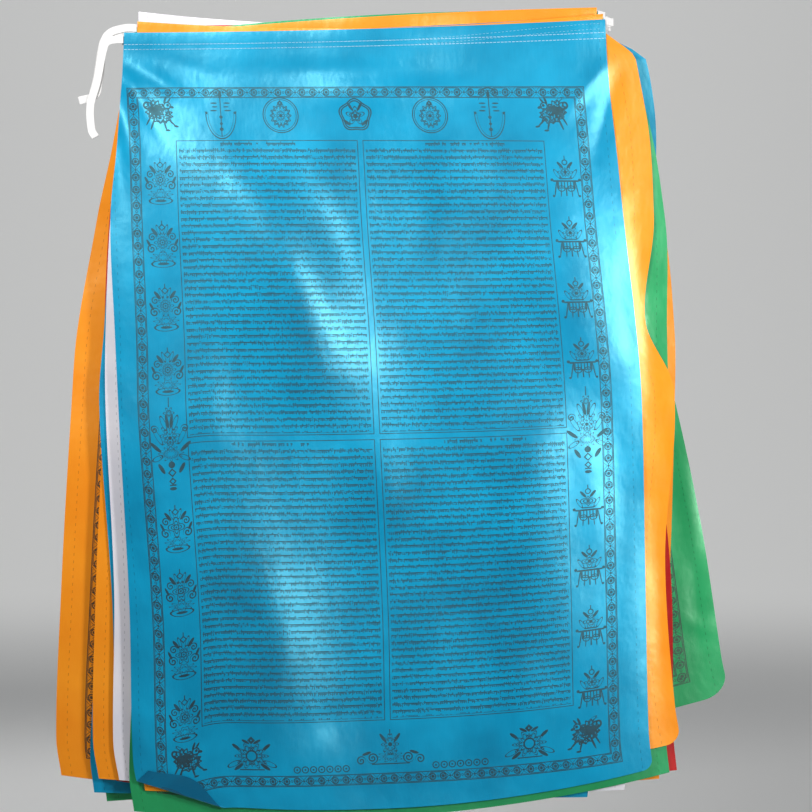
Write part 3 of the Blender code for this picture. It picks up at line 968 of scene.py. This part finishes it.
    def beasts(self, bench: Bench, a: Wire, b: Wire) -> Wire:
        """The beast in each corner: a maned animal that leaps towards the middle."""
        out = self.beast_out - abs(a - self.beast_middle)
        lower = b > self.middle_down
        y = b - self.beast_down - lower * self.beast_drop
        ragged = bench.noise(bench.point(a, b), 0.42, 3.0, 0.7)
        pen = Pen(bench, out, y)
        away, angle = pen.around(-1.0, 0.0, (12.0, 8.5), 12.0)
        pen.add((away < 1.05) * (ragged > 0.47))
        pen.add(away.near((angle * 13).cosine() * 0.12 + 1, 0.09))
        mane, turn = pen.around(-6.5, -5.0, (8.5, 8.5))
        pen.add((mane < (turn * 9).cosine() * 0.22 + 0.9) * (ragged < 0.53))
        pen.add(mane.near((turn * 11).cosine() * 0.16 + 1.02, 0.11))
        pen.ring(7, -9, 3.6, 1.3)
        pen.disc(7.6, -9.6, 1.5)
        pen.oval(11.5, -7.5, (2.6, 1.4), 20)
        pen.oval(5, -15, (4, 1.2), -68)
        pen.oval(9, -14.5, (3.4, 1), -52)
        pen.stroke((6, 4), (14.5, 12.5), 1.9)
        pen.stroke((2, 5), (5, 16.5), 1.9)
        pen.stroke((-7, 4), (-11.5, 15.5), 2.1)
        pen.stroke((-11, 2), (-16, 11), 1.8)
        pen.oval(15.5, 13, (2.6, 1.1), 12)
        pen.oval(6.4, 17.2, (2.6, 1))
        pen.scroll(-14.5, -10.5, 6, 1.3)
        pen.oval(-9, -15.5, (5, 1.3), 30, 1)
        return pen.ink

    def ink(self, bench: Bench, a: Wire, b: Wire) -> Wire:
        """The whole print as a mask."""
        total = self.border(bench, a, b)
        rows = (self.side_emblems, self.top_row, self.bottom_row, self.beasts)
        for draw in (self.ruled_boxes, self.tall_emblem, *rows):
            total = total | draw(bench, a, b)
        return total


# The stitches of a casing: how far down the flat cut the two rows lie, and their pitch, in millimetres
STITCH_ROWS = (13.0, 18.5)
STITCH_PITCH = 4.0


class Dye(NamedTuple):
    """A flag's colour in full light, its darker colour for painted shade and the back faces, and its gloss.
    """

    full: tuple[float, float, float]
    deep: tuple[float, float, float]
    gloss: tuple[float, float, float]


# Full is each colour in light; deep is its darker colour, painted as shade in broad patches and also used on
# the back faces
DYES = {
    BLUE: Dye((0.0, 0.350, 0.610), (0.0, 0.100, 0.210), (0.30, 0.88, 1.0)),
    YELLOW: Dye((0.980, 0.330, 0.008), (0.820, 0.195, 0.002), (1.0, 0.84, 0.42)),
    GREEN: Dye((0.015, 0.370, 0.120), (0.004, 0.180, 0.050), (0.55, 1.0, 0.68)),
    RED: Dye((0.520, 0.006, 0.008), (0.320, 0.002, 0.003), (1.0, 0.45, 0.42)),
    WHITE: Dye((0.860, 0.820, 0.850), (0.640, 0.640, 0.740), (1.0, 1.0, 1.0)),
}


@dataclass(frozen=True)
class ClothFinish:
    """The flags' satin polyester, with its print, the casing's stitches, the selvedge marks and broad patches
    of painted shade.

    The printed material is made once, and each colour is a copy with its own dye.
    """

    print_left: float = 27.0
    print_top: float = 62.0
    ink_colour: tuple[float, float, float] = (0.016, 0.012, 0.020)
    ink_front: float = 0.92
    ink_behind: float = 0.45
    thread_colour: tuple[float, float, float] = (0.75, 0.80, 0.85)
    mark_shade: float = 0.4
    mark_inset: float = 10.5
    mark_pitch: float = 8.2
    roughness: float = 0.32
    gloss: float = 1.0
    drape: float = 22.0
    block: BlockPrint = field(default_factory=BlockPrint)

    def printed(self) -> bpy.types.Material:
        """Builds the printed material."""
        bench = Bench("printed_cloth")
        place = bench.node("ShaderNodeAttribute", {"attribute_name": CLOTH_PLACE}, out="Vector")
        across, down, behind = bench.split(place)
        ink = self.block.ink(bench, across - self.print_left, down - self.print_top)
        worn = bench.noise(place, 0.09, 3.0, 0.6)
        ink = ink * (worn * 0.5 + 0.78) * (self.ink_front - behind * (self.ink_front - self.ink_behind))
        side = bench.math("MINIMUM", across, ClothSheet.width - across)
        marks = side.near(self.mark_inset, 0.35) * (down / self.mark_pitch).fract().near(0.5, 0.19) * 0.5
        sewn = (across / STITCH_PITCH).fract().near(0.5, 0.36)
        sewn = sewn * (down.near(STITCH_ROWS[0], 0.3) | down.near(STITCH_ROWS[1], 0.3)) * 0.5
        slubs = bench.noise(bench.point(across * 2.2, down * 0.05, behind), 1.0, 2.0, 0.6)
        # Broad random patches of the deeper dye: partly the dye's own uneven tone, mostly painted shade for
        # the satin's uneven light. The back faces take more of the deeper dye too.
        mottle_and_shade = bench.noise(place, 0.011, 3.0, 0.55)
        share = slubs * 0.25 + mottle_and_shade * 1.2 - behind * 0.55 - 0.1
        dyed_and_shaded = self.blend(bench, "dyed_and_shaded", share, DYES[WHITE].deep, DYES[WHITE].full)
        marked = self.blend(bench, "marked", marks, dyed_and_shaded, DYES[WHITE].deep)
        stitched = bench.mix(sewn, marked, (*self.thread_colour, 1.0))
        inked = bench.mix(ink, stitched, (*self.ink_colour, 1.0))
        rough = mottle_and_shade * 0.12 + slubs * 0.06 + ink * 0.2 + (self.roughness - 0.09)
        threads = (across * 1.25 * math.tau).cosine() * (down * 1.1 * math.tau).cosine()
        drape = bench.noise(bench.point(across, down * 0.55, behind), 0.0055, 1.0, 0.4)
        crumple = bench.noise(bench.point(across, down * 0.6, behind), 0.035, 3.0, 0.55)
        height = threads * 0.012 + crumple * 0.8 + slubs * 0.03 + drape * self.drape
        normal = bench.bump(height, 1.0, 1.0 * MM)
        shader = bench.node("ShaderNodeBsdfPrincipled", {"name": "satin"}, {
            "Base Color": inked,
            "Roughness": rough,
            "Normal": normal,
            "Specular IOR Level": self.gloss,
        })
        return bench.ended(shader)

    @staticmethod
    def blend(bench: Bench, name: str, share: Wire, first: Wire | tuple, second: tuple) -> Wire:
        """A named blend of two colours, which a copy of the material can set anew."""
        colours = {6: first if isinstance(first, Wire) else (*first, 1.0), 7: (*second, 1.0)}
        return bench.node("ShaderNodeMix", {"data_type": "RGBA", "name": name}, {0: share, **colours}, 2)

    def dyed_and_shaded(self, printed: bpy.types.Material, colour: Colour) -> bpy.types.Material:
        """A copy of the printed material in one colour, with its dye and its painted shade."""
        material = printed.copy()
        material.name = f"{colour.value}_cloth"
        nodes = material.node_tree.nodes
        dye = DYES[colour]
        marked = [channel * self.mark_shade for channel in dye.deep]
        # The deep colour is painted shade in the broad patches and the colour of the back faces
        for name, key, value in (
            ("dyed_and_shaded", 6, dye.deep),
            ("dyed_and_shaded", 7, dye.full),
            ("marked", 7, marked),
            ("satin", "Specular Tint", dye.gloss),
        ):
            nodes[name].inputs[key].default_value = (*value, 1.0)
        return material


@dataclass(frozen=True)
class TapeFinish:
    """White woven polyester tape."""

    colour: tuple[float, float, float] = (0.86, 0.85, 0.83)
    shade: tuple[float, float, float] = (0.68, 0.67, 0.66)
    rib: float = 0.7 * MM

    def material(self, name: str) -> bpy.types.Material:
        """Builds the finish."""
        bench = Bench(name)
        place = bench.node("ShaderNodeTexCoord", out="Object")
        across, _, down = bench.split(place)
        ribs = (across * (math.tau / self.rib)).cosine() * (down * (math.tau / self.rib)).cosine()
        fuzz = bench.noise(place, 900.0, 2.0, 0.6)
        woven = bench.mix(ribs * 0.3 + fuzz * 0.6 + 0.1, (*self.shade, 1.0), (*self.colour, 1.0))
        normal = bench.bump(ribs * 0.5 + fuzz * 0.4, 0.5, 0.2 * MM)
        shader = bench.node("ShaderNodeBsdfPrincipled", None, {
            "Base Color": woven, "Roughness": fuzz * 0.1 + 0.62, "Normal": normal, "Sheen Weight": 0.2,
        })
        return bench.ended(shader)


@dataclass
class Flags:
    """The fifteen flags, from the front to the back of the bundle."""

    cloth: ClothSheet = field(default_factory=ClothSheet)
    front_grid: tuple[int, int] = (160, 240)
    rounded_grid: tuple[int, int] = (104, 150)
    behind_grid: tuple[int, int] = (64, 96)
    finishes: dict[Colour, bpy.types.Material] = field(default_factory=dict)

    def dye_cloth(self) -> None:
        """Makes the cloth of every colour."""
        finish = ClothFinish()
        printed = finish.printed()
        self.finishes = {colour: finish.dyed_and_shaded(printed, colour) for colour in Colour}
        bpy.data.materials.remove(printed)

    def make(self, layer: int) -> bpy.types.Object:
        """Makes one flag as a thin closed sheet on its solid's folds."""
        colour = FLAGS[layer].colour
        columns, rows = self.rounded_grid if layer in ROUNDED else self.behind_grid
        if layer == 0:
            columns, rows = self.front_grid
        sheet = self.cloth.flat_grid(layer, columns, rows)
        self.cloth.hang_up(layer, sheet)
        solid = self.cloth.thicken(sheet)
        sheet.free()
        node = f"flag_{layer + 1:02d}_{colour.value}"
        piece = keep(solid, f"cloth_{layer + 1:02d}_{colour.value}", self.finishes[colour])
        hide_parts(node)
        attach(piece, "root")
        return piece


@dataclass
class Tape:
    """The white tape's loops between the flags' casings."""

    width: float = 8.0 * MM
    thick: float = 0.7 * MM
    clearance: float = 0.3 * MM
    arm_steps: int = 8
    turn_steps: int = 10

    @staticmethod
    def casing_end(layer: int, side: float) -> float:
        """X of a casing's left or right end, at the part of it that stands out most."""
        corner = 0 if side < 0 else 1
        ends = [BUNDLE.side_places(layer, down)[corner] for down in (0.0, BUNDLE.casing_share)]
        return side * max(side * end for end in ends)

    def arm(self, loop: Loop, side: float, layer: int, level: float) -> list[Vector]:
        """The middle line of one side of a tape loop, from a flag's casing end outwards."""
        corner = 0 if side < 0 else 1
        middle = edge_height(FLAGS[layer].top, corner) - BUNDLE.casing_depth / 2.0
        edge = self.casing_end(layer, side)
        outermost = max(side * self.casing_end(flag, side) for flag in (loop.first_flag - 1, loop.first_flag))
        start = Vector((edge + side * self.clearance, layer * BUNDLE.pitch_header, middle))
        out = Vector((side * (outermost + loop.reach * MM) - edge, 0.0, 0.0))
        fall = Vector((0.0, 0.0, -loop.drop * MM))
        sideways = Vector((side * MM, 0.0, 0.0))
        levelled = Vector((0.0, 0.0, level - middle))
        if not loop.drop:
            return [start, start + out * 0.5 + levelled * 0.5, start + out + levelled]
        bow, kick = sideways * loop.bow, sideways * loop.kick
        return [
            start,
            start + out * 0.35,
            start + out * 0.80 + fall * 0.04 + levelled * 0.2,
            start + out + fall * 0.16 + levelled * 0.4,
            start + out + bow * 0.45 + fall * 0.45 + levelled * 0.7,
            start + out + bow + fall * 0.70 + levelled,
            start + out + bow * 0.8 + kick * 0.2 + fall * 0.92 + levelled,
            start + out + kick + fall + levelled,
        ]

    def smooth_line(self, points: Sequence[Vector]) -> list[Vector]:
        """A finer line through an arm's points."""
        places = list(range(len(points)))
        at = np.linspace(0.0, len(points) - 1.0, (len(points) - 1) * self.arm_steps + 1)
        columns = [through(places, [point[axis] for point in points], at) for axis in range(3)]
        return [Vector(values) for values in zip(*columns)]

    @staticmethod
    def heading(line: Sequence[Vector], index: int, side: float, hanging: bool) -> Vector:
        """Which way the tape runs: straight out at the casing, and all along a short loop."""
        if index == 0 or not hanging:
            return Vector((side, 0.0, 0.0))
        return (line[min(index + 1, len(line) - 1)] - line[index - 1]).normalized()

    def sections(
        self, line: Sequence[Vector], side: float, outer: Vector, hanging: bool
    ) -> list[tuple[Vector, Vector, Vector]]:
        """Middle, width direction and outer side of a tape along one arm of its loop."""
        made = []
        for index, point in enumerate(line):
            along = self.heading(line, index, side, hanging)
            made.append((point, Vector((-along.z, 0.0, along.x)), outer))
        return made

    def make(self, loop: Loop, side: float, side_name: str, material: bpy.types.Material) -> bpy.types.Object:
        """Makes one loop, which leaves a casing, turns back on itself and enters the next casing."""
        layers = (loop.first_flag - 1, loop.first_flag)
        corner = 0 if side < 0 else 1
        level = sum(edge_height(FLAGS[layer].top, corner) for layer in layers) / 2.0
        level -= BUNDLE.casing_depth / 2.0
        front_line, back_line = (self.smooth_line(self.arm(loop, side, layer, level)) for layer in layers)
        away = Vector((0.0, 1.0, 0.0))
        hanging = loop.drop > 0
        sections = self.sections(front_line, side, -away, hanging)
        last, width = front_line[-1], sections[-1][1]
        heading = self.heading(front_line, len(front_line) - 1, side, hanging)
        across = back_line[-1] - last
        radius = BUNDLE.pitch_header / 2.0
        for step in range(1, self.turn_steps):
            angle = math.pi * step / self.turn_steps
            shift = across * ((1.0 - math.cos(angle)) / 2.0) + heading * (radius * math.sin(angle))
            sections.append((last + shift, width, heading * math.sin(angle) - away * math.cos(angle)))
        sections += self.sections(back_line, side, away, hanging)[::-1]
        solid = bmesh.new()
        rings = []
        for middle, width, outer in sections:
            wide, thick = width * (self.width / 2.0), outer * (self.thick / 2.0)
            corners = (wide + thick, thick - wide, -wide - thick, wide - thick)
            rings.append([solid.verts.new(middle + corner) for corner in corners])
        for first, second in zip(rings, rings[1:]):
            for at in range(4):
                following = (at + 1) % 4
                solid.faces.new((first[at], first[following], second[following], second[at]))
        solid.faces.new(rings[0][::-1])
        solid.faces.new(rings[-1])
        numbers = f"{side_name}_{loop.first_flag:02d}_{loop.first_flag + 1:02d}"
        piece = keep(solid, f"loop_{numbers}", material)
        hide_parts(f"tape_{numbers}")
        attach(piece, "root")
        return piece


@dataclass(frozen=True)
class Stitching:
    """The two rows of machine stitches under a casing, as threads that stand off the cloth."""

    first: float = 0.035
    last: float = 0.985
    off_cloth: float = 0.62
    rise: float = 9.0
    rise_from: float = 0.55
    steps: int = 120
    length: float = 2.7 * MM
    width: float = 0.5 * MM
    shortest: float = 0.88
    longest: float = 1.1
    seed: int = 7

    def rows(self, layer: int, side: float) -> bpy.types.Mesh:
        """The rows as lines on one side of a flag: side is -1 for its front and 1 for its back."""
        across = np.linspace(self.first, self.last, self.steps)
        verts, edges = [], []
        risen = self.rise * ease((across - self.rise_from) / (1.0 - self.rise_from))
        for depth in STITCH_ROWS:
            down = (depth - risen) / ClothSheet.length
            x, z = BUNDLE.hang(layer, across, down)
            y = BUNDLE.depth(layer, x, z) + side * self.off_cloth * MM
            edges += [(len(verts) + at, len(verts) + at + 1) for at in range(self.steps - 1)]
            verts += [tuple(place) for place in zip(x, y, z)]
        mesh = bpy.data.meshes.new("rows")
        mesh.from_pydata(verts, edges, [])
        return mesh

    def tree(self) -> bpy.types.NodeTree:
        """Geometry nodes that lay a short thread at every pitch along lines."""
        tree = bpy.data.node_groups.new("stitches", "GeometryNodeTree")
        sockets = {"Rows": "Geometry", "Pitch": "Float", "Length": "Float", "Width": "Float", "Seed": "Int"}
        for name, kind in {**sockets, "Thread": "Material"}.items():
            tree.interface.new_socket(name, in_out="INPUT", socket_type=f"NodeSocket{kind}")
        tree.interface.new_socket("Stitches", in_out="OUTPUT", socket_type="NodeSocketGeometry")
        kinds = {
            "inputs": "NodeGroupInput",
            "curve": "GeometryNodeMeshToCurve",
            "even": "GeometryNodeResampleCurve",
            "points": "GeometryNodeCurveToPoints",
            "bead": "GeometryNodeMeshUVSphere",
            "size": "ShaderNodeCombineXYZ",
            "vary": "FunctionNodeRandomValue",
            "longer": "ShaderNodeMath",
            "instances": "GeometryNodeInstanceOnPoints",
            "real": "GeometryNodeRealizeInstances",
            "smooth": "GeometryNodeSetShadeSmooth",
            "material": "GeometryNodeSetMaterial",
            "outputs": "NodeGroupOutput",
        }
        made = {name: tree.nodes.new(kind) for name, kind in kinds.items()}
        made["even"].mode = "LENGTH"
        made["points"].mode = "EVALUATED"
        made["longer"].operation = "MULTIPLY"
        for name, key, value in (
            ("bead", "Segments", 6),
            ("bead", "Rings", 5),
            ("bead", "Radius", 0.5),
            ("vary", 2, self.shortest),
            ("vary", 3, self.longest),
        ):
            made[name].inputs[key].default_value = value
        for start, out, end, into in (
            ("inputs", "Rows", "curve", "Mesh"),
            ("curve", "Curve", "even", "Curve"),
            ("inputs", "Pitch", "even", "Length"),
            ("even", "Curve", "points", "Curve"),
            ("inputs", "Seed", "vary", "Seed"),
            ("inputs", "Length", "longer", 0),
            ("vary", 1, "longer", 1),
            ("inputs", "Width", "size", "X"),
            ("inputs", "Width", "size", "Y"),
            ("longer", 0, "size", "Z"),
            ("points", "Points", "instances", "Points"),
            ("points", "Rotation", "instances", "Rotation"),
            ("bead", "Mesh", "instances", "Instance"),
            ("size", "Vector", "instances", "Scale"),
            ("instances", "Instances", "real", "Geometry"),
            ("real", "Geometry", "smooth", "Geometry"),
            ("smooth", "Geometry", "material", "Geometry"),
            ("inputs", "Thread", "material", "Material"),
            ("material", "Geometry", "outputs", "Stitches"),
        ):
            tree.links.new(made[start].outputs[out], made[end].inputs[into])
        return tree

    def make(
        self, layer: int, side: float, name: str, tree: bpy.types.NodeTree, thread: bpy.types.Material
    ) -> None:
        """Sews the rows of one flag."""
        source = linked("rows", self.rows(layer, side))
        modifier = source.modifiers.new("stitches", "NODES")
        modifier.node_group = tree
        sizes = {"Pitch": STITCH_PITCH * MM, "Length": self.length, "Width": self.width}
        sizes.update({"Seed": self.seed, "Thread": thread})
        for item in tree.interface.items_tree:
            if item.in_out == "INPUT" and item.name in sizes:
                modifier[item.identifier] = sizes[item.name]
        evaluated = source.evaluated_get(bpy.context.evaluated_depsgraph_get())
        mesh = bpy.data.meshes.new_from_object(evaluated)
        mesh.name = name
        bpy.data.objects.remove(source)
        piece = linked(name, mesh)
        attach(piece, "root")
        LOG.info("%s: %d faces", name, len(mesh.polygons))


class Lamp(NamedTuple):
    """A soft square lamp: its place and aim, its side in metres, its watts and its spread in degrees."""

    name: str
    place: tuple[float, float, float]
    aim: tuple[float, float, float]
    size: float
    power: float
    spread: float = 180.0


LAMPS = (
    Lamp("key", (-0.62, -1.25, 0.42), (-0.18, 0.0, -0.06), 0.34, 4.6, 84.0),
    Lamp("glare", (1.30, -2.4, -0.15), (0.44, 0.0, -0.34), 0.42, 4.6, 46.0),
    Lamp("wall", (0.0, 8.5, 6.0), (0.0, 12.5, 0.0), 3.0, 215.0),
    Lamp("back", (-1.2, 2.6, 1.6), (0.0, 0.0, -0.4), 0.9, 32.0),
)


@dataclass(frozen=True)
class Studio:
    """A pale sweep under and behind the bundle, its lamps, and the camera that faces the front flag."""

    view_width: float = 0.8526
    camera_x: float = 0.043
    camera_z: float = -0.396
    distance: float = 5.0
    sensor: float = 36.0
    floor_z: float = -0.98
    wall_y: float = 13.0
    sweep: float = 3.0
    sweep_steps: int = 24
    reach: float = 14.0
    pale: tuple[float, float, float] = (0.90, 0.90, 0.89)
    pale_roughness: float = 0.9
    sky_colour: tuple[float, float, float] = (0.92, 0.96, 1.0)
    sky_strength: float = 0.13

    def camera(self) -> None:
        """Faces the front flag square on, from far enough to see it nearly flat."""
        data = bpy.data.cameras.new("camera")
        data.sensor_width = self.sensor
        data.lens = self.sensor * self.distance / self.view_width
        eye = linked("camera", data)
        eye.location = (self.camera_x, -self.distance, self.camera_z)
        eye.rotation_euler = (math.pi / 2.0, 0.0, 0.0)
        bpy.context.scene.camera = eye

    def backdrop(self) -> None:
        """A floor that sweeps up into a wall."""
        foot = self.wall_y - self.sweep
        profile = [(-self.reach, self.floor_z), (foot, self.floor_z)]
        for step in range(1, self.sweep_steps + 1):
            angle = math.pi / 2.0 * step / self.sweep_steps
            rise = self.sweep * (1.0 - math.cos(angle))
            profile.append((foot + self.sweep * math.sin(angle), self.floor_z + rise))
        profile.append((self.wall_y, self.floor_z + self.reach))
        sweep = bmesh.new()
        sides = [[sweep.verts.new((x, y, z)) for y, z in profile] for x in (-self.reach, self.reach)]
        for index in range(len(profile) - 1):
            sweep.faces.new((sides[0][index], sides[1][index], sides[1][index + 1], sides[0][index + 1]))
        mesh = bpy.data.meshes.new("backdrop")
        sweep.to_mesh(mesh)
        sweep.free()
        mesh.shade_smooth()
        material = bpy.data.materials.new("pale_floor")
        material.use_nodes = True
        shader = material.node_tree.nodes["Principled BSDF"]
        shader.inputs["Base Color"].default_value = (*self.pale, 1.0)
        shader.inputs["Roughness"].default_value = self.pale_roughness
        mesh.materials.append(material)
        linked("backdrop", mesh)

    @staticmethod
    def light(lamp: Lamp) -> None:
        """Hangs one lamp."""
        data = bpy.data.lights.new(lamp.name, "AREA")
        data.size = lamp.size
        data.energy = lamp.power
        data.spread = math.radians(lamp.spread)
        hung = linked(lamp.name, data)
        hung.location = lamp.place
        hung.visible_camera = False
        hung.rotation_euler = (Vector(lamp.aim) - Vector(lamp.place)).to_track_quat("-Z", "Y").to_euler()

    def sky(self) -> None:
        """A dim, even sky."""
        world = bpy.context.scene.world or bpy.data.worlds.new("sky")
        bpy.context.scene.world = world
        world.use_nodes = True
        sky = world.node_tree.nodes["Background"]
        sky.inputs["Color"].default_value = (*self.sky_colour, 1.0)
        sky.inputs["Strength"].default_value = self.sky_strength

    def build(self) -> None:
        """Sets up the camera, the sweep, the lamps and the sky."""
        bpy.context.scene.view_settings.view_transform = "Standard"
        bpy.context.scene.cycles.max_bounces = 5
        bpy.context.scene.cycles.diffuse_bounces = 2
        self.camera()
        self.backdrop()
        for lamp in LAMPS:
            self.light(lamp)
        self.sky()


def main() -> None:
    """Builds the studio, the flags and their tape, and declares every piece."""
    logging.basicConfig(level=logging.INFO, format="%(message)s")
    Studio().build()
    flags = Flags()
    flags.dye_cloth()
    cloths = [flags.make(layer) for layer in range(len(FLAGS))]
    tape = Tape()
    white = TapeFinish().material("white_tape")
    loops: dict[int, list[bpy.types.Object]] = {layer: [] for layer in range(len(FLAGS))}
    for side, side_name, rows in ((-1.0, "left", LEFT_LOOPS), (1.0, "right", RIGHT_LOOPS)):
        for loop in rows:
            loops[loop.first_flag - 1].append(tape.make(loop, side, side_name, white))
    for layer, piece in enumerate(cloths):
        LOG.info("%s: %d faces", piece.name, len(piece.data.polygons))
    stitching = Stitching()
    tree = stitching.tree()
    pale_blue = TapeFinish(colour=(0.36, 0.62, 0.72), shade=(0.22, 0.48, 0.60), rib=0.25 * MM)
    thread = pale_blue.material("thread")
    stitching.make(0, -1.0, "stitches_front", tree, thread)
    stitching.make(len(FLAGS) - 1, 1.0, "stitches_back", tree, thread)


if __name__ == "__main__":
    main()
